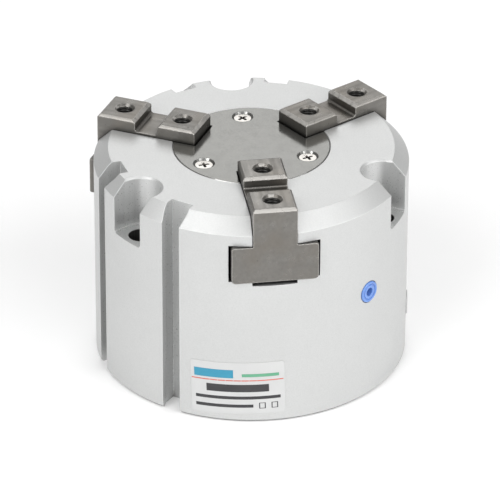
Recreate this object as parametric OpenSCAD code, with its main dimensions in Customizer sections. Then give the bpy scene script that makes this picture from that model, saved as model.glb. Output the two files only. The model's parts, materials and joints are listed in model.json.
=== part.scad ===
// Three-jaw parallel pneumatic gripper, drawn closed, in millimetres.
// Z = 0 is the mounting face, +Z points at the workpiece and the front jaw slides along -Y.
// A direction around the body is an angle from -Y towards +X, so the jaws sit at 0, 120 and 240.
// Inside, air lifts the piston; the wedge cam on its rod rises with it and its three inclined
// T ribs push the jaws outwards in step. One millimetre up moves each jaw one millimetre out.

/* [Body] */
// Outside diameter of the body
body_d = 86; // [86:0.5:88]
// Height of the body
body_h = 62; // [62:0.5:64]
// 45 degree chamfer round the top edge
top_chamfer = 4; // [1:0.5:5]
// 45 degree chamfer round the bottom edge
base_chamfer = 0.8; // [0.2:0.1:1.2]
// Diameter of the cylinder bore
bore_d = 63; // [62:0.5:63]

/* [Mounting] */
// Pitch circle of the three mounting holes
mount_pcd = 76; // [76:0.5:78]
// Mounting hole: clears M6 from above and takes an M8 thread from below
mount_hole_d = 6.8; // [6:0.1:6.8]
// Width of the open-sided counterbores
notch_d = 11.4; // [10:0.1:12]
// Depth of the counterbores below the top face
notch_depth = 14.7; // [12:0.1:16]
// Locating pin hole in the mounting face
pin_hole_d = 5; // [3:0.5:5]
// Depth of the locating pin hole
pin_hole_depth = 6; // [4:0.5:8]

/* [Sensor grooves] */
// Width of a groove at the surface
groove_mouth = 5.2; // [4.4:0.1:5.6]
// Width of a groove inside
groove_inside = 6.9; // [6:0.1:7.2]
// Depth over which a groove widens
groove_lip = 3.2; // [1.5:0.1:3.5]
// Whole depth of a groove
groove_depth = 6.6; // [6:0.1:7]
// Half the angle between the two grooves of a pair
groove_spread = 20.2; // [19:0.1:22]
// Angle that a pair is turned from its mounting hole
groove_turn = 1.1; // [0:0.1:1.5]

/* [Jaws] */
// Travel of each jaw from closed to open
stroke = 8; // [6:0.5:8]
// Width of a jaw's neck
neck_w = 11.9; // [11:0.1:11.9]
// Width of a jaw's guide flange
flange_w = 23.4; // [20:0.1:24]
// Height of a jaw's guide flange
flange_h = 10.8; // [10.4:0.1:10.8]
// Depth of the flange's top face below the body's top face
flange_drop = 7.2; // [7:0.1:7.6]
// Radius of the flange's lower corners
flange_round = 1.2; // [0.4:0.1:2]
// Rise of the pads above the body's top face
pad_rise = 4; // [3:0.5:6]
// Radius where the inner pad starts when closed
pad_in = 14.4; // [14:0.1:16]
// Radius where the groove between the pads starts
key_in = 25.3; // [25:0.1:26.5]
// Radius where the groove between the pads ends
key_out = 31.9; // [31.5:0.1:32.5]
// Height of the groove's floor above the body's top face
key_floor = 0.7; // [0.3:0.1:1.2]
// Chamfer at the ends of each pad's top
pad_chamfer = 0.85; // [0.3:0.05:0.9]
// Chamfer along the sides of each pad's top
side_chamfer = 0.6; // [0.2:0.05:0.8]
// Radius of the inner threaded hole when closed
hole_in = 20.25; // [20:0.05:21]
// Pitch of a jaw's two threaded holes
hole_pitch = 17; // [16:0.1:17.5]
// Tapping diameter of the jaw holes, for an M5 thread
jaw_tap_d = 4.2; // [4:0.05:4.3]
// Depth of the jaw holes
jaw_tap_depth = 9; // [7:0.5:9]

/* [End plate] */
// Diameter of the end plate
plate_d = 42.8; // [42:0.1:43]
// Thickness of the end plate
plate_t = 3; // [3:0.1:3.2]
// Radius where the plate's jaw notches end
plate_notch_in = 13.9; // [13.5:0.1:13.9]
// Pitch circle of the end plate screws
plate_pcd = 32.8; // [32.5:0.1:34]
// Head diameter of the end plate screws
screw_head_d = 4.9; // [4.4:0.1:5]
// Depth of the screw heads below the plate's face
screw_sink = 0.5; // [0.3:0.1:0.6]

/* [Air ports] */
// Direction of the opening port
open_port_turn = 80.7; // [78:0.1:82]
// Height of the opening port
open_port_z = 12.9; // [12.5:0.1:13]
// Direction of the closing port
close_port_turn = 39.3; // [35:0.1:42]
// Height of the closing port
close_port_z = 32.8; // [32:0.1:33]
// Head diameter of the closing port's plastic plug
plug_head_d = 6.1; // [5.5:0.1:7]
// Head diameter of the opening port's steel plug
steel_plug_head_d = 6.8; // [6:0.1:7.4]

/* [Label] */
// Direction of the label's left edge
label_turn = -30.5; // [-31:0.5:-28]
// Width of the label along the surface
label_w = 25.8; // [20:0.1:26]
// Height of the label's lower edge
label_z = 2.6; // [1.5:0.1:4]
// Height of the label
label_h = 16.1; // [12:0.1:18]

/* [Piston and rod] */
// Diameter of the piston rod
rod_d = 14; // [13:0.5:14]
// Thickness of the end cap
cap_t = 6; // [5.5:0.1:6]
// Thickness of the retaining ring
ring_t = 1.5; // [1.2:0.1:1.5]

/* [Hidden] */
$fn = 96;

slip = 0.04;                               // gap between pieces that are fitted together
cut = 1;                                   // how far a cutter runs past the face that it opens
edge_break = 0.2;                          // chamfer on the edges of the end plate and its seat
body_r = body_d / 2;
bore_r = bore_d / 2;
mount_r = mount_pcd / 2;
jaw_turns = [0, 120, 240];
mount_turns = [60, 180, 300];
groove_pairs = [180, 300];

// Heights, from the mounting face up
ring_z = 1.45;
cap_z = ring_z + ring_t + 0.05;
cap_top = cap_z + cap_t;
chamber_top = 35;
seal_boss_z = 30.5;
pocket_z = 40;
relief_z = body_h - 19.3;
flange_top = body_h - flange_drop;
flange_z = flange_top - flange_h;
guide_z = flange_z - 0.2;
guide_top = flange_top + 0.1;
plate_z = body_h - plate_t;
pad_top = body_h + pad_rise;
notch_z = body_h - notch_depth;

// Widths of the guides in the body
neck_slot_w = neck_w + 0.3;
guide_w = flange_w + 1.3;

// Wedge: on the ribs' middle line, radius plus height is this much with the jaws closed
wedge_sum = flange_z + 20;
rib_thick = 3;                             // measured along the radius
rib_head_w = 8;
rib_stem_w = 4.5;
lip_thick = 2.5;                           // the jaw's lip behind the rib's head, along the radius
rib_gap = 0.1;
cam_z = pocket_z + 0.3;
cam_top = plate_z - 0.5 - stroke;
hub_r = 8;

// Piston, rod and seals
piston_z = 14.6;
piston_top = piston_z + 7.4;
piston_boss_z = cap_top + 0.5;
piston_boss_r = 22;
ring_seat_r = 28.1;                        // bottom of the piston's two ring grooves
rod_r = rod_d / 2;
rod_z = piston_top - 2;
rod_top = cam_z + 1.2;
bolt_hole_r = 4.2;
bolt_head_r = 6.5;
bolt_head_h = 8;
bolt_seat_z = 17.7;
bolt_thread_r = 3.4;
bush_r = rod_r + 2;
bush_z = 34.6;
seal_r = rod_r + 3.5;
seal_z = 31.6;
retainer_r = rod_r + 4.5;
bumper_proud = 0.4;

// Mirrored outline points: the given half, then the same points with the first coordinate negated
function both_sides(half) =
    concat(half, [for (i = [len(half) - 1 : -1 : 0]) [-half[i][0], half[i][1]]]);

// Points of a rounded corner: centre, radius, the angle that the arc starts at and how far it turns
function corner(centre, r, start, sweep = 90) =
    [for (step = [0 : 6]) let (a = start + sweep * step / 6) centre + r * [cos(a), sin(a)]];

// Puts something drawn along +X at a direction around the body
module at_turn(turn) {
    rotate([0, 0, turn - 90]) children();
}

module bar(x0, x1, width, z0, z1) {
    translate([x0, -width / 2, z0]) cube([x1 - x0, width, z1 - z0]);
}

module hole(r, z0, z1) {
    translate([0, 0, z0]) cylinder(r = r, h = z1 - z0);
}

// Widens a hole's mouth at height z by a 45 degree cone; side is 1 where the hole goes up, -1 down
module countersink(r, depth, z, side) {
    translate([0, 0, z - side * cut]) mirror([0, 0, side < 0 ? 1 : 0])
        cylinder(r1 = r + depth + cut, r2 = r, h = depth + cut);
}

module tube(r_in, r_out, z0, z1) {
    difference() {
        hole(r_out, z0, z1);
        hole(r_in, z0 - cut, z1 + cut);
    }
}

// Draws a side view, given as [radius, height] points, as a plate across the radius
module across(width, outline) {
    translate([0, width / 2, 0]) rotate([90, 0, 0]) linear_extrude(width) polygon(outline);
}

// One sensor groove, drawn along +X: it widens from its mouth and then runs straight to its floor
module sensor_groove() {
    half_mouth = groove_mouth / 2;
    half_inside = groove_inside / 2;
    flare = (half_inside - half_mouth) / groove_lip;
    outline = both_sides([
        [half_mouth - flare * cut, cut],
        [half_inside, -groove_lip],
        [half_inside - 0.2, -groove_depth]
    ]);
    translate([body_r, 0, -cut]) rotate([0, 0, -90]) linear_extrude(body_h + 2 * cut) polygon(outline);
}

// One open-sided counterbore with its mounting hole, drawn along +X
module mounting_hole() {
    step = 0.5;
    rim = 0.5;
    for (level = [[notch_d / 2, notch_z + step], [notch_d / 2 - step, notch_z]]) {
        translate([mount_r, 0, 0]) hole(level[0], level[1], body_h + cut);
        bar(mount_r, body_r + cut, 2 * level[0], level[1], body_h + cut);
    }
    translate([mount_r, 0, 0]) {
        hole(mount_hole_d / 2, -cut, notch_z + cut);
        countersink(mount_hole_d / 2, 0.7, 0, 1);
        countersink(notch_d / 2, rim, body_h, -1);
    }
}

// The channel that one jaw slides in, and the pocket below it for the cam's rib
module jaw_channel() {
    bar(0, body_r + 4, guide_w, guide_z, guide_top);
    bar(0, body_r + 4, neck_slot_w, relief_z, body_h + cut);
    bar(0, 26, 10, pocket_z, body_h);
}

// Spot face, tapped hole and air passage of one port, drawn along +X
module air_port(z, head_d) {
    translate([0, 0, z]) rotate([0, 90, 0]) {
        hole(head_d / 2 + 0.2, body_r - 0.5, body_r + cut);
        hole(2.1, 35, body_r);
        hole(1.2, bore_r - cut, 35.5);
    }
}

module body() {
    color([0.86, 0.87, 0.87])
    difference() {
        rotate_extrude() polygon([
            [0, 0],
            [body_r - base_chamfer, 0],
            [body_r, base_chamfer],
            [body_r, body_h - top_chamfer],
            [body_r - top_chamfer, body_h],
            [0, body_h]
        ]);
        difference() {
            hole(bore_r, -cut, chamber_top);
            hole(15, seal_boss_z, chamber_top + cut);
        }
        hole(33.05, ring_z - 0.05, cap_z);
        hole(retainer_r + 0.02, seal_boss_z - cut, seal_z);
        hole(seal_r + 0.02, seal_z - 0.01, bush_z);
        hole(bush_r, bush_z - 0.01, pocket_z + cut);
        hole(12, pocket_z, body_h);
        hole(plate_d / 2 + 0.08, plate_z, body_h + cut);
        countersink(plate_d / 2 + 0.08, edge_break, body_h, -1);
        for (turn = jaw_turns) at_turn(turn) jaw_channel();
        for (turn = mount_turns) at_turn(turn) {
            mounting_hole();
            translate([plate_pcd / 2, 0, 0]) hole(1.25, plate_z - 6.5, plate_z + cut);
        }
        for (pair = groove_pairs, side = [-1, 1])
            at_turn(pair + groove_turn + side * groove_spread) sensor_groove();
        at_turn(open_port_turn) air_port(open_port_z, steel_plug_head_d);
        at_turn(close_port_turn) air_port(close_port_z, plug_head_d);
        at_turn(0) translate([mount_r, 0, 0]) hole(pin_hole_d / 2, -cut, pin_hole_depth);
    }
}

module end_plate() {
    sink_r = screw_head_d / 2 + screw_sink + slip;
    color([0.66, 0.66, 0.65])
    difference() {
        union() {
            hole(plate_d / 2, plate_z, body_h - edge_break);
            translate([0, 0, body_h - edge_break])
                cylinder(r1 = plate_d / 2, r2 = plate_d / 2 - edge_break, h = edge_break);
        }
        for (turn = jaw_turns) at_turn(turn)
            bar(plate_notch_in, plate_d, neck_slot_w + 0.3, plate_z - cut, body_h + cut);
        for (turn = mount_turns) at_turn(turn) translate([plate_pcd / 2, 0, 0]) {
            hole(1.6, plate_z - cut, body_h + cut);
            translate([0, 0, body_h - sink_r]) cylinder(r1 = 0, r2 = sink_r + 0.01, h = sink_r + 0.01);
        }
    }
}

// Countersunk cross-recess screws
module end_plate_screws() {
    head_r = screw_head_d / 2;
    head_top = body_h - screw_sink;
    color([0.9, 0.89, 0.86])
    for (turn = mount_turns) at_turn(turn) translate([plate_pcd / 2, 0, 0])
    difference() {
        union() {
            translate([0, 0, head_top - head_r]) cylinder(r1 = 0, r2 = head_r, h = head_r);
            hole(1.23, plate_z - 5.4, head_top - 0.2);
        }
        for (arm = [0, 90]) rotate([0, 0, arm]) bar(-1.3, 1.3, 0.5, head_top - 1, head_top + cut);
    }
}

// A jaw drawn along +X: neck with two pads, guide flange, nose with the inclined T slot
module jaw() {
    nose_low = wedge_sum - rib_thick / 2 - lip_thick - rib_gap;
    groove_z = body_h + key_floor;
    foot = 0.7;                            // fillet where the pads rise from the groove's floor
    side = concat([
        [nose_low - flange_z, flange_z],
        [body_r, flange_z],
        [body_r, pad_top - pad_chamfer],
        [body_r - pad_chamfer, pad_top],
        [key_out + pad_chamfer, pad_top],
        [key_out, pad_top - pad_chamfer]
    ],
    corner([key_out - foot, groove_z + foot], foot, 0, -90),
    corner([key_in + foot, groove_z + foot], foot, -90, -90),
    [
        [key_in, pad_top - pad_chamfer],
        [key_in - pad_chamfer, pad_top],
        [pad_in + pad_chamfer, pad_top],
        [pad_in, pad_top - pad_chamfer],
        [pad_in, flange_top],
        [nose_low - flange_top, flange_top]
    ]);
    half_neck = neck_w / 2;
    half_flange = flange_w / 2;
    top_round = 0.6;
    difference() {
        union() {
            intersection() {
                across(flange_w, side);
                rotate([90, 0, 90]) linear_extrude(body_r + cut) polygon(both_sides([
                    [half_neck, flange_z],
                    [half_neck, pad_top - side_chamfer],
                    [half_neck - side_chamfer, pad_top]
                ]));
            }
            translate([18, 0, 0]) rotate([90, 0, 90]) linear_extrude(body_r - 18) polygon(both_sides(concat(
                corner([half_flange - flange_round, flange_z + flange_round], flange_round, -90),
                corner([half_flange - top_round, flange_top - top_round], top_round, 0)
            )));
        }
        wedge_slot();
        for (r = [hole_in, hole_in + hole_pitch]) translate([r, 0, 0]) {
            hole(jaw_tap_d / 2, pad_top - jaw_tap_depth, pad_top + cut);
            countersink(jaw_tap_d / 2, 0.7, pad_top, -1);
        }
    }
}

// An inclined strip whose middle line keeps radius plus height at wedge_sum
module incline(width, r_in, r_out, z0, z1) {
    across(width, [
        [wedge_sum - z0 + r_in, z0],
        [wedge_sum - z0 + r_out, z0],
        [wedge_sum - z1 + r_out, z1],
        [wedge_sum - z1 + r_in, z1]
    ]);
}

module wedge_slot() {
    half = rib_thick / 2 + rib_gap;
    reach = lip_thick + rib_thick;
    incline(rib_head_w + 0.3, -half, half, flange_z - cut, flange_top + 0.01);
    incline(rib_stem_w + 0.3, -reach, 0, flange_z - cut, flange_top + 0.01);
}

module front_jaw() {
    color([0.5, 0.49, 0.47]) at_turn(jaw_turns[0]) jaw();
}

module right_jaw() {
    color([0.5, 0.49, 0.47]) at_turn(jaw_turns[1]) jaw();
}

module left_jaw() {
    color([0.5, 0.49, 0.47]) at_turn(jaw_turns[2]) jaw();
}

module wedge_cam() {
    color([0.42, 0.42, 0.43])
    difference() {
        union() {
            hole(hub_r, cam_z, cam_top);
            for (turn = jaw_turns) at_turn(turn) {
                incline(rib_head_w, -rib_thick / 2, rib_thick / 2, cam_z, cam_top);
                across(rib_stem_w, [
                    [0, cam_z],
                    [wedge_sum - cam_z, cam_z],
                    [wedge_sum - cam_top, cam_top],
                    [0, cam_top]
                ]);
            }
        }
        hole(rod_r + slip, cam_z - cut, rod_top + slip);
        hole(bolt_thread_r, cam_z, cam_top - 1.5);
    }
}

// Hexagon socket screw that clamps piston, rod and cam together from below
module cam_bolt() {
    head_z = bolt_seat_z - bolt_head_h;
    color([0.2, 0.2, 0.21])
    difference() {
        union() {
            hole(bolt_head_r, head_z, bolt_seat_z);
            hole(4, bolt_seat_z - cut, rod_top);
            hole(bolt_thread_r - slip, rod_top - cut, cam_top - 2);
        }
        translate([0, 0, head_z - cut]) cylinder(r = 3.46, h = 4 + cut, $fn = 6);
    }
}

module piston_rod() {
    color([0.78, 0.78, 0.8]) tube(bolt_hole_r, rod_r, rod_z, rod_top);
}

module oring(r, wire, z) {
    translate([0, 0, z]) rotate_extrude() translate([r, 0]) circle(r = wire, $fn = 32);
}

module rod_oring() {
    color([0.12, 0.12, 0.12]) oring(5.65, 0.7, rod_z - 0.75);
}

module piston() {
    color([0.75, 0.76, 0.77])
    difference() {
        union() {
            hole(bore_r - 0.08, piston_z, piston_top);
            hole(piston_boss_r, piston_boss_z, piston_z + cut);
        }
        hole(bolt_hole_r, piston_boss_z - cut, piston_top + cut);
        hole(bolt_head_r + 0.3, piston_boss_z - cut, bolt_seat_z);
        hole(rod_r + slip, rod_z, piston_top + cut);
        tube(4.9, 6.4, rod_z - 1.5, rod_z + slip);
        tube(ring_seat_r, bore_r + cut, piston_z + 0.8, piston_z + 3.4);
        tube(ring_seat_r, bore_r + cut, piston_z + 4.2, piston_z + 6.6);
        tube(12, 14.6, piston_top - 1.5, piston_top + cut);
        tube(12, 16, piston_boss_z - cut, piston_boss_z + 1.5);
    }
}

// Lip seal: a ring whose lower face is grooved so that the air spreads its lips
module lip_seal(r_in, r_out, z0, z1) {
    middle = (r_in + r_out) / 2;
    rotate_extrude() polygon([
        [r_in, z0],
        [middle - 0.7, z0],
        [middle, z0 + (z1 - z0) * 0.55],
        [middle + 0.7, z0],
        [r_out, z0],
        [r_out, z1],
        [r_in, z1]
    ]);
}

module piston_seal() {
    color([0.1, 0.1, 0.1]) lip_seal(ring_seat_r + slip, bore_r - 0.03, piston_z + 0.9, piston_z + 3.3);
}

// Flexible magnet, split so that it springs into its groove
module magnet_ring() {
    color([0.24, 0.22, 0.2])
    difference() {
        tube(ring_seat_r + slip, bore_r - 0.4, piston_z + 4.3, piston_z + 6.5);
        bar(0, bore_r + cut, 1, piston_z + 4, piston_z + 7);
    }
}

module opening_bumper() {
    color([0.3, 0.33, 0.2]) tube(12 + slip, 14.6 - slip, piston_top - 1.5, piston_top + bumper_proud);
}

module closing_bumper() {
    color([0.3, 0.33, 0.2])
        tube(12 + slip, 16 - slip, piston_boss_z - bumper_proud, piston_boss_z + 1.5);
}

module rod_bush() {
    color([0.72, 0.58, 0.32]) tube(rod_r + slip, bush_r - 0.02, bush_z + 0.05, pocket_z);
}

module rod_seal() {
    color([0.1, 0.1, 0.1]) lip_seal(rod_r + 0.02, seal_r, seal_z + 0.05, bush_z - 0.05);
}

module seal_retainer() {
    color([0.6, 0.6, 0.6]) tube(rod_r + 0.6, retainer_r, seal_boss_z + 0.05, seal_z - 0.02);
}

module end_cap() {
    middle = (cap_z + cap_top) / 2;
    color([0.8, 0.81, 0.82])
    difference() {
        hole(bore_r - 0.06, cap_z, cap_top);
        tube(29, bore_r + cut, middle - 1.15, middle + 1.15);
        translate([0, 0, cap_z - cut]) cylinder(r1 = 23 + cut, r2 = 22, h = 1 + cut);
    }
}

module end_cap_oring() {
    color([0.1, 0.1, 0.1]) oring(30.25, 1.12, (cap_z + cap_top) / 2);
}

// Internal retaining ring: an open ring with an eye for the pliers at each end
module retaining_ring() {
    end_turn = 11;
    color([0.3, 0.3, 0.31])
    at_turn(0) difference() {
        union() {
            rotate([0, 0, end_turn]) rotate_extrude(angle = 360 - 2 * end_turn)
                translate([29.6, ring_z]) square([3.4, ring_t]);
            for (side = [-1, 1]) rotate([0, 0, side * (end_turn + 2)]) translate([29.2, 0, 0])
                hole(2.9, ring_z, ring_z + ring_t);
        }
        for (side = [-1, 1]) rotate([0, 0, side * (end_turn + 2)]) translate([28.6, 0, 0])
            hole(1.25, ring_z - cut, ring_z + ring_t + cut);
    }
}

// A port plug drawn along +X, with its shank and its chamfered head; the cuts are its children
module port_plug(head_r, proud) {
    seat = body_r - 0.5;
    rim = 0.25;
    rotate([0, 90, 0]) difference() {
        union() {
            hole(2.06, 36.5, body_r);
            hole(head_r, seat, body_r + proud - rim);
            translate([0, 0, body_r + proud - rim]) cylinder(r1 = head_r, r2 = head_r - rim, h = rim);
        }
        translate([0, 0, body_r]) children();
    }
}

// Plastic transit plug with a blind middle hole
module closing_port_plug() {
    color([0.2, 0.42, 0.8])
    at_turn(close_port_turn) translate([0, 0, close_port_z])
        port_plug(plug_head_d / 2, 0.25) hole(1, -3.5, cut);
}

// Steel plug with a hexagon socket
module opening_port_plug() {
    color([0.74, 0.74, 0.74])
    at_turn(open_port_turn) translate([0, 0, open_port_z])
        port_plug(steel_plug_head_d / 2, 0.3)
            translate([0, 0, -1.9]) cylinder(r = 1.45, h = 1.9 + cut, $fn = 6);
}

module label() {
    color([0.95, 0.95, 0.94])
    at_turn(label_turn) rotate_extrude(angle = label_w / body_r * 180 / PI)
        translate([body_r, label_z]) square([0.12, label_h]);
}

body();
end_plate();
end_plate_screws();
front_jaw();
right_jaw();
left_jaw();
wedge_cam();
cam_bolt();
piston_rod();
rod_oring();
piston();
piston_seal();
magnet_ring();
opening_bumper();
closing_bumper();
rod_bush();
rod_seal();
seal_retainer();
end_cap();
end_cap_oring();
retaining_ring();
closing_port_plug();
opening_port_plug();
label();
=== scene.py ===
"""Three-jaw pneumatic gripper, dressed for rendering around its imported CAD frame."""

import json
import math

import bpy
from mathutils import Matrix, Vector


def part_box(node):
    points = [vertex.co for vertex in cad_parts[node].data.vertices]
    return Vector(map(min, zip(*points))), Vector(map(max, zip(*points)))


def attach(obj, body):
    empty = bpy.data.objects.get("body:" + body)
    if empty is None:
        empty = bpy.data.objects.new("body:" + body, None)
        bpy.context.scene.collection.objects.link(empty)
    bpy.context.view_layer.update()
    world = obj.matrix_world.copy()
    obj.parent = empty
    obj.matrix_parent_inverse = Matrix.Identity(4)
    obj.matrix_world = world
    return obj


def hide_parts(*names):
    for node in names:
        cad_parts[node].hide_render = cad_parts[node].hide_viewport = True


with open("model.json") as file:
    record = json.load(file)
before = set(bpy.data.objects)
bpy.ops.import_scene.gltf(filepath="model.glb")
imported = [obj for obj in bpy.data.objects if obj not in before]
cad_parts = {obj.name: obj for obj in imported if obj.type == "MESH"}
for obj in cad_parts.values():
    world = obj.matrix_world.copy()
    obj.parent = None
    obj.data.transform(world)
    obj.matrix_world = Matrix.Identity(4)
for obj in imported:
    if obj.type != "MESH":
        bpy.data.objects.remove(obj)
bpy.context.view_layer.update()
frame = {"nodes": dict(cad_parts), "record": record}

MM = 0.001
SCENE = bpy.context.scene
NODES = frame["nodes"]
MOUNTS = {m["name"]: m for m in frame["record"]["mounts"]}
SLOTS = {s["node"]: s["material_slot"] for s in frame["record"]["subparts"]}

# Driving sizes, read from the frame where it has them
BODY_LOW, BODY_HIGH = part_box("body")
BODY_R = (BODY_HIGH.x - BODY_LOW.x) / 2
BODY_H = BODY_HIGH.z
JAW_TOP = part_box("front_jaw")[1].z
TOP_CHAMFER = 4 * MM
JAW_TURNS = {"front_jaw": 0, "right_jaw": 120, "left_jaw": 240}
MOUNT_TURNS = (60, 180, 300)


# ------------------------------------------------------------------ geometry helpers

def direction(turn):
    """Unit vector at a direction round the body, counted from -Y towards +X."""
    a = math.radians(turn)
    return Vector((math.sin(a), -math.cos(a), 0))


def along(origin, axis):
    """A frame at origin whose own Z is axis."""
    turned = Vector((0, 0, 1)).rotation_difference(Vector(axis)).to_matrix().to_4x4()
    return Matrix.Translation(origin) @ turned


def new_piece(name, verts, faces, body, material, smooth_angle=30):
    """A mesh piece that rides on a CAD body and has its finish."""
    mesh = bpy.data.meshes.new(name)
    mesh.from_pydata([tuple(v) for v in verts], [], faces)
    mesh.validate()
    mesh.update()
    piece = bpy.data.objects.new(name, mesh)
    SCENE.collection.objects.link(piece)
    mesh.materials.append(material)
    mesh.shade_smooth()
    mesh.set_sharp_from_angle(angle=math.radians(smooth_angle))
    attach(piece, body)
    return piece


def join(parts):
    """Several (vertices, faces) pairs as one."""
    verts, faces = [], []
    for more_verts, more_faces in parts:
        start = len(verts)
        verts += more_verts
        faces += [tuple(start + i for i in face) for face in more_faces]
    return verts, faces


def arc(centre, radius, start, sweep, steps=6):
    """Points of an arc in a profile, both ends included."""
    angles = (math.radians(start + sweep * i / steps) for i in range(steps + 1))
    return [(centre[0] + radius * math.cos(a), centre[1] + radius * math.sin(a)) for a in angles]


def lathe(profile, matrix, steps=64):
    """A profile of (radius, height) turned round matrix's own Z; its two ends lie on the axis."""
    verts = [matrix @ Vector((0, 0, profile[0][1])), matrix @ Vector((0, 0, profile[-1][1]))]
    ring = profile[1:-1]
    count = len(ring)
    for i in range(steps):
        a = 2 * math.pi * i / steps
        verts += [matrix @ Vector((r * math.cos(a), r * math.sin(a), h)) for r, h in ring]
    faces = []
    for i in range(steps):
        here, there = 2 + i * count, 2 + (i + 1) % steps * count
        faces.append((0, there, here))
        faces += [(here + k, there + k, there + k + 1, here + k + 1) for k in range(count - 1)]
        faces.append((here + count - 1, there + count - 1, 1))
    return verts, faces


def thread(matrix, root, crest, pitch, length, steps=40):
    """A helical ridge with a flat crest, along matrix's own Z from its origin."""
    verts = []
    crest_start, crest_end = pitch * 0.42, pitch * 0.58
    total = int(steps * (length / pitch - 1))
    for i in range(total + 1):
        a = 2 * math.pi * i / steps
        z = pitch * i / steps
        section = ((root, z), (crest, z + crest_start), (crest, z + crest_end), (root, z + pitch))
        verts += [matrix @ Vector((r * math.cos(a), r * math.sin(a), h)) for r, h in section]
    faces = [(3, 2, 1, 0)]
    for i in range(total):
        for k in range(4):
            j = (k + 1) % 4
            faces.append((4 * i + k, 4 * i + j, 4 * i + 4 + j, 4 * i + 4 + k))
    faces.append(tuple(4 * total + k for k in range(4)))
    return verts, faces


# ------------------------------------------------------------------ materials

class Tree:
    """A short way to write a node tree."""

    def __init__(self, name):
        self.material = bpy.data.materials.new(name)
        self.material.use_nodes = True
        self.tree = self.material.node_tree
        self.bsdf = self.tree.nodes["Principled BSDF"]
        self.place = self.node("TexCoord").outputs["Object"]

    def node(self, kind, **settings):
        """A new shader node with its settings."""
        made = self.tree.nodes.new("ShaderNode" + kind)
        for key, value in settings.items():
            setattr(made, key, value)
        return made

    def link(self, source, target):
        self.tree.links.new(source, target)

    def fill(self, socket, value):
        """A link where value is an output, a constant where it is a number or a colour."""
        if isinstance(value, bpy.types.NodeSocket):
            self.link(value, socket)
        elif isinstance(value, (tuple, list)) and socket.type == "RGBA":
            socket.default_value = (*value, 1)
        else:
            socket.default_value = value

    def math(self, operation, first, second=0.0, clamp=False):
        made = self.node("Math", operation=operation, use_clamp=clamp)
        self.fill(made.inputs[0], first)
        self.fill(made.inputs[1], second)
        return made.outputs[0]

    def vector(self, operation, first, second=(0, 0, 0)):
        made = self.node("VectorMath", operation=operation)
        self.fill(made.inputs[0], first)
        self.fill(made.inputs[1], second)
        return made.outputs["Value" if operation in ("DOT_PRODUCT", "LENGTH") else "Vector"]

    def noise(self, scale, detail=3.0, stretch=(1, 1, 1), turn=0.0, roughness=0.5):
        """Noise in object space; stretch lengthens it along the axes of a frame turned by turn about Z."""
        mapping = self.node("Mapping", vector_type="TEXTURE")
        mapping.inputs["Rotation"].default_value = (0, 0, math.radians(turn - 90))
        mapping.inputs["Scale"].default_value = stretch
        self.link(self.place, mapping.inputs["Vector"])
        made = self.node("TexNoise")
        self.link(mapping.outputs["Vector"], made.inputs["Vector"])
        for key, value in (("Scale", scale), ("Detail", detail), ("Roughness", roughness)):
            made.inputs[key].default_value = value
        return made.outputs["Fac"]

    def remap(self, source, low, high, to_low=0.0, to_high=1.0):
        """to_low where source is low, to_high where it is high, clamped between them."""
        made = self.node("MapRange")
        made.clamp = True
        values = {"Value": source, "From Min": low, "From Max": high, "To Min": to_low, "To Max": to_high}
        for key, value in values.items():
            self.fill(made.inputs[key], value)
        return made.outputs["Result"]

    def mix(self, factor, first, second):
        """A colour between first and second."""
        made = self.node("Mix", data_type="RGBA")
        self.fill(made.inputs[0], factor)
        self.fill(made.inputs[6], first)
        self.fill(made.inputs[7], second)
        return made.outputs[2]

    def edges(self, radius):
        """0 on open faces, up to 1 along edges, by how far a rounded normal leans away; and that normal."""
        bevel = self.node("Bevel", samples=6)
        bevel.inputs["Radius"].default_value = radius
        flat = self.node("NewGeometry").outputs["Normal"]
        lean = self.vector("DOT_PRODUCT", bevel.outputs["Normal"], flat)
        return self.remap(lean, 0.998, 0.90), bevel.outputs["Normal"]

    def recesses(self, reach, low, high):
        """0 in the open, 1 deep inside narrow recesses: the share of nearby space that is blocked."""
        occlusion = self.node("AmbientOcclusion", samples=8)
        occlusion.inputs["Distance"].default_value = reach
        return self.remap(occlusion.outputs["AO"], low, high)

    def bump(self, height, strength, normal=None, depth=0.02 * MM):
        """Relief on the surface's normal, from a height between 0 and 1."""
        made = self.node("Bump")
        made.inputs["Strength"].default_value = strength
        made.inputs["Distance"].default_value = depth
        self.link(height, made.inputs["Height"])
        if normal is not None:
            self.link(normal, made.inputs["Normal"])
        self.link(made.outputs["Normal"], self.bsdf.inputs["Normal"])


BROWN_TINT = (0.88, 0.83, 0.77)            # what a stain does to each colour channel


def shade(color, factor):
    """A colour made darker or lighter."""
    return tuple(c * factor for c in color)


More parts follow.
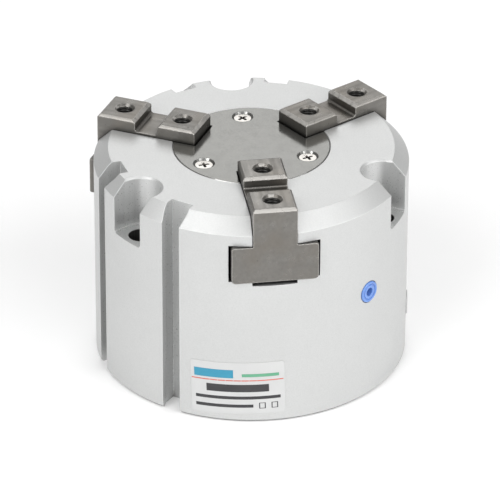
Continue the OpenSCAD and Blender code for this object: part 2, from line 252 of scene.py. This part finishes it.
def metal(name, color, light_tone, rough, metallic=1.0, grain=2200.0, grain_bump=0.04, edge_radius=0.25 * MM,
          mottle=0.08, brushed=None, anisotropic=0.0, pits=0.0, shade_reach=0.0, stain=0.0, chamfer_highlights=None,
          spread=0.03):
    """Machined or blasted metal: grain in bump and roughness, soft mottling, edges lighter from wear.

    brushed: direction round the body that the grinding lines follow; pits and stain: how strong the dark
    specks and the brown patches are; shade_reach: how far the painted shade in narrow recesses reaches;
    chamfer_highlights: how much brighter, as painted highlights, the 45 degree faces are that lie across
    the brushed direction, and those that lie beside it; spread: how far such a face's normal may differ and
    still count.
    """
    t = Tree(name)
    if brushed is None:
        fine = t.noise(grain, 4.0)
    else:
        fine = t.noise(grain, 3.0, stretch=(40, 1, 1), turn=brushed)
    broad = t.noise(60.0, 3.0)
    cloud = t.noise(320.0, 4.0)
    edge, normal = t.edges(edge_radius)
    base = t.mix(t.remap(broad, 0.3, 0.7), shade(color, 1 - mottle), color)
    base = t.mix(t.remap(cloud, 0.45, 0.75, 0.0, 0.7), base, shade(color, 1 - 1.6 * mottle))
    base = t.mix(t.remap(fine, 0.35, 0.75, 0.0, 0.6), base, shade(color, 1 - 2.2 * mottle))
    if stain:
        patches = t.remap(t.noise(130.0, 2.0, stretch=(1.5, 1, 1)), 0.42, 0.68)
        brown = tuple(c * tint for c, tint in zip(color, BROWN_TINT))
        base = t.mix(t.math("MULTIPLY", patches, stain), base, brown)
    if shade_reach:
        edge = t.math("SUBTRACT", edge, t.recesses(shade_reach / 2, 0.80, 0.55), clamp=True)
    # Painted highlight: 45 degree faces across and beside the brushed direction are mixed towards the
    # lighter tone, less so in narrow recesses.
    if chamfer_highlights:
        across = brushed or 0
        for share, turn in zip(chamfer_highlights, (across, across + 90)):
            normal_of_face = t.node("NewGeometry").outputs["True Normal"]
            facing = t.vector("DOT_PRODUCT", normal_of_face, tuple(direction(turn)))
            chamfer_highlight = t.math("COMPARE", t.math("ABSOLUTE", facing), math.sqrt(0.5))
            chamfer_highlight.node.inputs[2].default_value = spread
            chamfer_highlight = t.math("MULTIPLY", chamfer_highlight, share)
            if shade_reach:
                chamfer_highlight = t.math("MULTIPLY", chamfer_highlight, t.remap(t.recesses(shade_reach / 2, 1, 0), 0.6, 0.3))
            base = t.mix(chamfer_highlight, base, light_tone)
    # Painted shade: darker in corners and deep in narrow recesses, by how much nearby space is blocked.
    if shade_reach:
        corners = t.math("MULTIPLY", t.recesses(shade_reach * 0.4, 0.92, 0.60), 0.7)
        base = t.mix(corners, base, shade(color, 0.30))
        base = t.mix(t.recesses(shade_reach, 0.85, 0.20), base, shade(color, 0.12))
    if pits:
        speck = t.remap(t.noise(700.0, 1.0), 0.72, 0.80)
        base = t.mix(t.math("MULTIPLY", speck, pits), base, shade(color, 0.45))
    t.link(t.mix(edge, base, light_tone), t.bsdf.inputs["Base Color"])
    low, high = rough
    varied = t.remap(fine, 0.3, 0.7, low, high)
    smudge = t.remap(cloud, 0.35, 0.7, -0.04, 0.04)
    worn_smooth = t.math("MULTIPLY", edge, (high - low) * 0.6)
    t.link(t.math("SUBTRACT", t.math("ADD", varied, smudge), worn_smooth), t.bsdf.inputs["Roughness"])
    t.bump(fine, grain_bump, normal)
    t.bsdf.inputs["Metallic"].default_value = metallic
    if anisotropic:
        t.bsdf.inputs["Anisotropic"].default_value = anisotropic
        t.link(t.vector("CROSS_PRODUCT", (0, 0, 1), t.place), t.bsdf.inputs["Tangent"])
    return t.material


def drilled_holes(t, height):
    """1 on the walls of the mounting holes, below the counterbores."""
    mount = MOUNTS["base_threads"]
    pitch_r, wall = mount["dims"]["pcd_mm"] / 2 * MM, mount["dims"]["hole_r_mm"] * MM
    flat = t.vector("MULTIPLY", t.place, (1, 1, 0))
    found = 0.0
    for turn in MOUNT_TURNS:
        away = t.vector("LENGTH", t.vector("SUBTRACT", flat, tuple(direction(turn) * pitch_r)))
        found = t.math("MAXIMUM", t.remap(away, wall + 0.15 * MM, wall + 0.02 * MM), found)
    floor = MOUNTS["through_bolts"]["pos_m"][2]
    return t.math("MULTIPLY", found, t.remap(height, floor - 0.05 * MM, floor - 0.3 * MM))


def extruded(name, color, light_tone, rough, inside, metallic):
    """The body's blasted, anodised extrusion: fine grain outside, drawn lines down the grooves and bores.

    inside is the painted shade colour deep in narrow recesses and down the drilled holes.
    """
    t = Tree(name)
    grain = t.noise(2600.0, 4.0)
    drawn = t.noise(1500.0, 3.0, stretch=(1, 1, 60))
    broad = t.noise(45.0, 3.0)
    cloud = t.noise(260.0, 4.0)
    edge, normal = t.edges(0.22 * MM)
    radius = t.vector("LENGTH", t.vector("MULTIPLY", t.place, (1, 1, 0)))
    height = t.node("SeparateXYZ")
    t.link(t.place, height.inputs[0])
    below_top = t.math("SUBTRACT", BODY_H, height.outputs["Z"])
    below_side = t.math("SUBTRACT", BODY_R, radius)
    below_chamfer = t.math("SUBTRACT", t.math("ADD", below_top, below_side), TOP_CHAMFER)
    depth = t.math("MINIMUM", below_chamfer, t.math("MINIMUM", below_top, below_side))
    deep = t.remap(depth, 0.1 * MM, 0.8 * MM)
    base = t.mix(t.remap(broad, 0.3, 0.7), shade(color, 0.965), color)
    base = t.mix(t.remap(cloud, 0.5, 0.8, 0.0, 0.6), base, shade(color, 0.95))
    base = t.mix(t.remap(grain, 0.4, 0.75, 0.0, 0.5), base, shade(color, 0.90))
    # Painted shade: narrow recesses darkened towards the inside colour, by how much nearby space is
    # blocked.
    recess = t.math("MULTIPLY", t.recesses(3 * MM, 0.50, 0.15), deep)
    base = t.mix(recess, base, inside)
    # Painted shade: the mounting holes' walls below the counterbores darkened.
    base = t.mix(drilled_holes(t, height.outputs["Z"]), base, shade(inside, 1.6))
    lines = t.math("MULTIPLY", t.remap(drawn, 0.45, 0.8), t.math("MULTIPLY", deep, 0.3))
    base = t.mix(lines, base, shade(color, 0.72))
    t.link(t.mix(edge, base, light_tone), t.bsdf.inputs["Base Color"])
    smooth = t.math("ADD", t.math("MULTIPLY", edge, 0.1), t.math("MULTIPLY", deep, 0.14))
    t.link(t.math("SUBTRACT", t.remap(grain, 0.3, 0.7, *rough), smooth), t.bsdf.inputs["Roughness"])
    relief = t.mix(deep, grain, drawn)
    t.bump(relief, 0.12, normal)
    t.bsdf.inputs["Metallic"].default_value = metallic
    return t.material


def plastic(name, color, dark, rough, grain=900.0, grain_bump=0.05, coat=0.0, subsurface=0.0):
    """Moulded plastic, rubber, film or ink: a little colour drift and a fine grain."""
    t = Tree(name)
    drift = t.noise(180.0, 3.0)
    fine = t.noise(grain, 4.0)
    edge, normal = t.edges(0.15 * MM)
    base = t.mix(t.remap(drift, 0.3, 0.7), dark, color)
    t.link(t.mix(t.math("MULTIPLY", edge, 0.35), base, shade(color, 1.25)), t.bsdf.inputs["Base Color"])
    t.link(t.remap(fine, 0.3, 0.7, *rough), t.bsdf.inputs["Roughness"])
    t.bump(fine, grain_bump, normal)
    t.bsdf.inputs["Coat Weight"].default_value = coat
    t.bsdf.inputs["Subsurface Weight"].default_value = subsurface
    t.bsdf.inputs["Subsurface Scale"].default_value = 0.5 * MM
    return t.material


def jaw_steel(node):
    """Hardened steel, ground along its own jaw's radius."""
    # Painted shade in the jaw's recesses and painted highlights on its chamfers.
    return metal(node + "_steel", (0.213, 0.205, 0.191), (0.46, 0.445, 0.42), (0.27, 0.42), metallic=0.85,
                 grain=900.0, grain_bump=0.12, edge_radius=0.45 * MM, mottle=0.09, brushed=JAW_TURNS[node],
                 anisotropic=0.85, pits=0.8, shade_reach=4 * MM, stain=0.6, chamfer_highlights=(0.85, 0.25))


FINISH = {
    # The body's inside colour is painted shade for its narrow recesses and drilled holes.
    "anodised_aluminium": extruded("anodised_aluminium", (0.60, 0.605, 0.60), (0.78, 0.785, 0.78),
                                   (0.40, 0.54), inside=(0.05, 0.05, 0.048), metallic=0.6),
    # plate_steel: painted highlights on its 45 degree faces.
    "plate_steel": metal("plate_steel", (0.19, 0.189, 0.179), (0.46, 0.46, 0.445), (0.13, 0.20),
                         metallic=0.85, grain=1500.0, grain_bump=0.012, mottle=0.03, pits=0.2,
                         chamfer_highlights=(0.9, 0.0), spread=0.14),
    # screw_steel: painted shade in its cross recess.
    "screw_steel": metal("screw_steel", (0.56, 0.54, 0.51), (0.72, 0.70, 0.67), (0.18, 0.28), grain=1500.0,
                         edge_radius=0.08 * MM, shade_reach=1.2 * MM),
    "cam_steel": metal("cam_steel", (0.25, 0.25, 0.26), (0.45, 0.45, 0.46), (0.25, 0.40)),
    "black_steel": metal("black_steel", (0.05, 0.05, 0.05), (0.16, 0.16, 0.16), (0.35, 0.50), metallic=0.6),
    "rod_steel": metal("rod_steel", (0.70, 0.70, 0.72), (0.85, 0.85, 0.87), (0.08, 0.16), grain=1200.0),
    "turned_aluminium": metal("turned_aluminium", (0.62, 0.63, 0.64), (0.80, 0.81, 0.82), (0.28, 0.42),
                              metallic=0.9, grain=1600.0),
    "plug_steel": metal("plug_steel", (0.50, 0.50, 0.50), (0.66, 0.66, 0.66), (0.34, 0.46), metallic=0.7),
    "bush_bronze": metal("bush_bronze", (0.55, 0.37, 0.17), (0.72, 0.52, 0.28), (0.38, 0.52), mottle=0.15),
    "spring_steel": metal("spring_steel", (0.12, 0.12, 0.125), (0.34, 0.34, 0.35), (0.32, 0.46),
                          metallic=0.8),
    "seal_rubber": plastic("seal_rubber", (0.028, 0.028, 0.028), (0.018, 0.018, 0.018), (0.5, 0.65)),
    "bumper_rubber": plastic("bumper_rubber", (0.19, 0.21, 0.09), (0.14, 0.16, 0.07), (0.42, 0.55)),
    "magnet": plastic("magnet", (0.075, 0.07, 0.065), (0.05, 0.045, 0.04), (0.55, 0.7)),
    "blue_plastic": plastic("blue_plastic", (0.15, 0.29, 0.68), (0.12, 0.245, 0.61), (0.26, 0.36), coat=0.3,
                            subsurface=0.05),
    "label_film": plastic("label_film", (0.575, 0.578, 0.575), (0.545, 0.548, 0.545), (0.34, 0.42),
                          coat=0.15),
}
INK = {
    "black": plastic("ink_black", (0.025, 0.025, 0.028), (0.04, 0.04, 0.042), (0.4, 0.5)),
    "teal": plastic("ink_teal", (0.03, 0.25, 0.38), (0.04, 0.29, 0.43), (0.4, 0.5)),
    "green": plastic("ink_green", (0.10, 0.33, 0.20), (0.13, 0.37, 0.23), (0.4, 0.5)),
    "red": plastic("ink_red", (0.58, 0.12, 0.09), (0.62, 0.17, 0.13), (0.4, 0.5)),
}
JAW_FINISH = {node: jaw_steel(node) for node in JAW_TURNS}
# Painted shade: a copy of the jaw steel darkened to about a sixth, for the threads deep in the jaw holes.
SHADED_THREAD_FINISH = metal("thread_steel_shaded", (0.035, 0.034, 0.032), (0.11, 0.105, 0.10), (0.32, 0.44),
                      metallic=0.8, edge_radius=0.08 * MM)

for node_name, node_object in NODES.items():
    node_object.data.materials.clear()
    node_object.data.materials.append(JAW_FINISH.get(node_name) or FINISH[SLOTS[node_name]])


# ------------------------------------------------------------------ threads

ROOT_OVERLAP = 0.02 * MM                   # how far a thread's root reaches into the hole's wall


def jaw_threads():
    """M5 threads in the jaws' six holes."""
    pitch, height = 0.8 * MM, 0.3 * MM
    floor_gap, run_out = 0.1 * MM, 0.6 * MM
    for name, mount in MOUNTS.items():
        if mount["kind"] != "threaded_hole":
            continue
        jaw = name.split("_jaw")[0] + "_jaw"
        x, y, _ = mount["pos_m"]
        depth = mount["dims"]["length_mm"] * MM
        wall = mount["dims"]["r_mm"] * MM
        start = Matrix.Translation((x, y, JAW_TOP - depth + floor_gap))
        verts, faces = thread(start, wall + ROOT_OVERLAP, wall - height, pitch, depth - run_out)
        new_piece(name + "_helix", verts, faces, jaw, SHADED_THREAD_FINISH)


def base_threads():
    """M8 threads in the mounting holes, cut from below."""
    pitch, height, start_z, length = 1.25 * MM, 0.35 * MM, 0.9 * MM, 16 * MM
    mount = MOUNTS["base_threads"]
    wall = mount["dims"]["hole_r_mm"] * MM
    pitch_r = mount["dims"]["pcd_mm"] / 2 * MM
    for number, turn in enumerate(MOUNT_TURNS, 1):
        start = Matrix.Translation(direction(turn) * pitch_r + Vector((0, 0, start_z)))
        verts, faces = thread(start, wall + ROOT_OVERLAP, wall - height, pitch, length, steps=48)
        new_piece(f"base_thread_{number}", verts, faces, "housing",
                  FINISH["anodised_aluminium"])


jaw_threads()
base_threads()


# ------------------------------------------------------------------ end plate screws

def cross_depth(x, y):
    """Depth of the cross recess at a point of the head, in mm: four wings, deepest in the middle."""
    wing, half_width, deepest = 1.45, 0.34, 1.1
    side_slope, end_slope = 0.10, 0.35     # width of a wing's sloping side and end walls
    tip_rise = 0.35                        # share by which its floor has risen at the tip
    across, out = min(abs(x), abs(y)), max(abs(x), abs(y))
    wall = (half_width - across) / side_slope
    end = (wing - out) / end_slope
    shape = max(0.0, min(1.0, wall, end))
    return deepest * shape * (1.0 - tip_rise * out / wing)


def screw_head(matrix, head_r, steps=96, rings=34):
    """A countersunk head: a crowned, cross-recessed face, a rounded rim, its cone and a short shank."""
    verts, faces = [matrix @ Vector((0, 0, -cross_depth(0, 0) * MM))], []
    rim, crown = 0.12, 0.05
    shank_r, shank_length = 1.2, 1.2
    cone = head_r - shank_r
    profile = [(head_r * i / rings, None) for i in range(1, rings)]
    profile += [(r, z) for r, z in arc((head_r - rim, -rim), rim, 90, -90, 4)[1:]]
    profile += [(shank_r, -cone), (shank_r, -cone - shank_length)]
    for r, z in profile:
        for i in range(steps):
            a = 2 * math.pi * i / steps
            x, y = r * math.cos(a), r * math.sin(a)
            high = z if z is not None else crown * (1 - (r / head_r) ** 2) - cross_depth(x, y)
            verts.append(matrix @ Vector((x * MM, y * MM, high * MM)))
    for i in range(steps):
        j = (i + 1) % steps
        faces.append((0, 1 + i, 1 + j))
        for k in range(len(profile) - 1):
            here = 1 + k * steps
            faces.append((here + i, here + steps + i, here + steps + j, here + j))
    faces.append(tuple(1 + (len(profile) - 1) * steps + i for i in reversed(range(steps))))
    return verts, faces


SCREW_PITCH_R = 16.4 * MM
SCREW_HEAD_R = 2.43                        # in mm, as screw_head takes it
SCREW_STOPS = (20, 35, 8)                  # degrees, where each screw's cross came to rest


def end_plate_screws():
    """Three cross-recess screws, each stopped at its own angle."""
    head_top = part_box("end_plate_screws")[1].z
    for number, (turn, stop) in enumerate(zip(MOUNT_TURNS, SCREW_STOPS), 1):
        place = Matrix.Translation(direction(turn) * SCREW_PITCH_R + Vector((0, 0, head_top)))
        verts, faces = screw_head(place @ Matrix.Rotation(math.radians(stop), 4, "Z"), SCREW_HEAD_R)
        screw = new_piece(f"end_plate_screw_{number}", verts, faces, "housing",
                          FINISH["screw_steel"], smooth_angle=40)
        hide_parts("end_plate_screws")


end_plate_screws()


# ------------------------------------------------------------------ closing port plug

def closing_port_plug():
    """Moulded plug: a rounded flange with a sunk ring round a raised, drilled boss."""
    port = MOUNTS["closing_air_port"]
    axis = Vector(port["axis"])
    place = along(axis * BODY_R + Vector((0, 0, port["pos_m"][2])), axis)
    head_r, proud = 3.05, 0.25
    profile = [(0, -3.4), (0.9, -3.4), (1.15, -2.9), (1.15, 0.0)]
    profile += arc((1.35, proud - 0.25), 0.2, 180, -90)
    profile += arc((1.85, proud - 0.25), 0.2, 90, -90)
    profile += [(2.08, -0.05), (2.32, -0.05)]
    profile += arc((2.55, proud - 0.22), 0.22, 180, -90)
    profile += arc((head_r - 0.3, proud - 0.3), 0.3, 90, -90)
    profile += [(head_r, -0.48), (2.05, -0.48), (2.05, -6.3), (1.8, -6.5), (0, -6.5)]
    verts, faces = lathe([(r * MM, z * MM) for r, z in profile], place, steps=72)
    plug = new_piece("closing_plug_moulding", verts, faces, "housing",
                     FINISH["blue_plastic"])
    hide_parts("closing_port_plug")


closing_port_plug()


# ------------------------------------------------------------------ label, with plain bars for its print

LABEL_TURN = -13.35                        # degrees, middle of the label
LABEL_MID_Z = 10.65 * MM
LABEL_W, LABEL_H = 25.8 * MM, 16.1 * MM
LABEL_TILT = math.radians(1.9)


def on_label(u, v, lift):
    """A point of the tilted label: u to the right and v up from its middle, lift above the body."""
    c, s = math.cos(LABEL_TILT), math.sin(LABEL_TILT)
    across, up = u * c - v * s, u * s + v * c
    a = math.radians(LABEL_TURN) + across / BODY_R
    radius = BODY_R + lift
    return Vector((radius * math.sin(a), -radius * math.cos(a), LABEL_MID_Z + up))


def patch(u0, u1, v0, v1, low, high, corner=0.0, columns=24, rows=2):
    """A thin curved sheet from low to high above the body, with rounded corners."""
    corner = max(corner, 0.02 * MM)
    rounding = [corner * share for share in (0.08, 0.3, 0.6, 1)]
    us = sorted({u0 + (u1 - u0) * i / columns for i in range(columns + 1)}
                | {u0 + step for step in rounding} | {u1 - step for step in rounding})
    verts, faces = [], []
    for lift in (low, high):
        for u in us:
            inset = max(0.0, corner - (u - u0), corner - (u1 - u))
            pull = corner - math.sqrt(max(0.0, corner ** 2 - inset ** 2))
            for i in range(rows + 1):
                v = (v0 + pull) + (v1 - v0 - 2 * pull) * i / rows
                verts.append(on_label(u, v, lift))
    count, rise = rows + 1, (rows + 1) * len(us)
    for i in range(len(us) - 1):
        for k in range(rows):
            a, b = i * count + k, (i + 1) * count + k
            faces.append((a, a + 1, b + 1, b))
            faces.append((rise + a, rise + b, rise + b + 1, rise + a + 1))
        a, b, top = i * count, (i + 1) * count, rows
        faces.append((a, b, rise + b, rise + a))
        faces.append((b + top, a + top, rise + a + top, rise + b + top))
    last = (len(us) - 1) * count
    for k in range(rows):
        faces.append((k, rise + k, rise + k + 1, k + 1))
        faces.append((last + k + 1, rise + last + k + 1, rise + last + k, last + k))
    return verts, faces


def outline(u0, u1, v0, v1, line):
    """Four bars round a rectangle, as (u0, u1, v0, v1) each."""
    return [(u0, u1, v0, v0 + line), (u0, u1, v1 - line, v1),
            (u0, u0 + line, v0 + line, v1 - line), (u1 - line, u1, v0 + line, v1 - line)]


def label():
    """The film with rounded corners and its bars, one piece for each ink."""
    film_low, film_top = 0.01 * MM, 0.10 * MM
    ink_low, ink_top = film_top - 0.005 * MM, film_top + 0.012 * MM
    half_w, half_h = LABEL_W / 2, LABEL_H / 2
    verts, faces = patch(-half_w, half_w, -half_h, half_h, film_low, film_top, corner=0.8 * MM, rows=6)
    film = new_piece("label_film_sheet", verts, faces, "housing", FINISH["label_film"])
    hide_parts("label")
    # Bars as shares of the label: left, right, bottom and top, from its lower left corner
    bars = {
        "teal": [(0.04, 0.46, 0.70, 0.86)],
        "green": [(0.55, 0.94, 0.725, 0.785)],
        "red": [(0.01, 0.985, 0.642, 0.663)],
        "black": [(0.17, 0.83, 0.43, 0.575), (0.05, 0.95, 0.285, 0.345), (0.05, 0.66, 0.125, 0.185)],
    }
    squares = [(0.72, 0.79, 0.10, 0.215), (0.85, 0.92, 0.10, 0.215)]
    for u0, u1, v0, v1 in squares:
        bars["black"] += outline(u0, u1, v0, v1, 0.011)
    for ink, group in bars.items():
        parts = []
        for u0, u1, v0, v1 in group:
            across = [(u - 0.5) * LABEL_W for u in (u0, u1)]
            up = [(v - 0.5) * LABEL_H for v in (v0, v1)]
            parts.append(patch(*across, *up, ink_low, ink_top, corner=0.05 * MM, columns=12, rows=1))
        verts, faces = join(parts)
        new_piece("label_bars_" + ink, verts, faces, "housing", INK[ink])


label()


# ------------------------------------------------------------------ camera, floor and light

CAMERA_TURN, CAMERA_RISE, CAMERA_ROLL = -8.67, 30.09, 0.207     # degrees
CAMERA_DISTANCE = 1.26926
CAMERA_LENS, SENSOR_WIDTH = 331.8, 36
CAMERA_SHIFT = (-0.0021, -0.0129)
MIDDLE = Vector((0, 0, BODY_H / 2))        # what the camera and the lights look at

FLOOR_HALF = 3.0
FLOOR_LOW = -0.05 * MM                     # just clear of the mounting face
FLOOR_GLOW = 0.08

AMBIENT = 0.39
SOFTBOX_WIDTH = 0.7
# Each softbox: turn and elevation that it shines from, distance and power
SOFTBOXES = {
    "back_softbox": (171, 42, 1.1, 2.65),
    "front_left_softbox": (-50, 40, 1.1, 5.35),
    "front_right_softbox": (30, 40, 1.1, 3.74),
    "low_front_softbox": (-9, 12, 1.2, 2.35),
    "right_softbox": (62, 25, 1.2, 4.15),
    "left_softbox": (-80, 65, 1.1, 0.73),
}


def look_from(turn, elevation, distance, aim, roll=0.0):
    """Where a camera or light stands: turn round the body, elevation, and distance from the aim point."""
    out = direction(turn) * math.cos(math.radians(elevation))
    out.z = math.sin(math.radians(elevation))
    right = Vector((0, 0, 1)).cross(out).normalized()
    up = out.cross(right)
    c, s = math.cos(math.radians(roll)), math.sin(math.radians(roll))
    x_axis, y_axis = right * c + up * s, up * c - right * s
    turned = Matrix((x_axis, y_axis, out)).transposed().to_4x4()
    return Matrix.Translation(aim + out * distance) @ turned


def make_camera():
    """The camera, at the photograph's viewing angle."""
    camera = bpy.data.objects.new("camera", bpy.data.cameras.new("camera"))
    SCENE.collection.objects.link(camera)
    SCENE.camera = camera
    camera.data.sensor_width = SENSOR_WIDTH
    camera.data.lens = CAMERA_LENS
    camera.data.clip_start, camera.data.clip_end = 0.05, 20
    camera.data.shift_x, camera.data.shift_y = CAMERA_SHIFT
    camera.matrix_world = look_from(CAMERA_TURN, CAMERA_RISE, CAMERA_DISTANCE, MIDDLE, CAMERA_ROLL)


def make_floor():
    """A plain pale floor with a faint glow of its own."""
    mesh = bpy.data.meshes.new("floor")
    corners = [(x * FLOOR_HALF, y * FLOOR_HALF, FLOOR_LOW) for x, y in ((-1, -1), (1, -1), (1, 1), (-1, 1))]
    mesh.from_pydata(corners, [], [(0, 1, 2, 3)])
    floor = bpy.data.objects.new("floor", mesh)
    SCENE.collection.objects.link(floor)
    t = Tree("floor")
    t.bsdf.inputs["Base Color"].default_value = (0.94, 0.94, 0.94, 1)
    t.bsdf.inputs["Roughness"].default_value = 0.9
    t.bsdf.inputs["Emission Color"].default_value = (1, 1, 1, 1)
    t.bsdf.inputs["Emission Strength"].default_value = FLOOR_GLOW
    mesh.materials.append(t.material)


def softbox(name, turn, elevation, distance, power):
    """A square area light that looks at the middle of the object."""
    data = bpy.data.lights.new(name, "AREA")
    data.shape = "SQUARE"
    data.size = SOFTBOX_WIDTH
    data.energy = power
    light = bpy.data.objects.new(name, data)
    SCENE.collection.objects.link(light)
    light.matrix_world = look_from(turn, elevation, distance, MIDDLE)


def make_world():
    """Even white light from all round."""
    world = bpy.data.worlds.new("studio")
    SCENE.world = world
    world.use_nodes = True
    background = world.node_tree.nodes["Background"]
    background.inputs["Color"].default_value = (1, 1, 1, 1)
    background.inputs["Strength"].default_value = AMBIENT


make_camera()
make_floor()
make_world()
SCENE.view_settings.view_transform = "Standard"
for name, settings in SOFTBOXES.items():
    softbox(name, *settings)
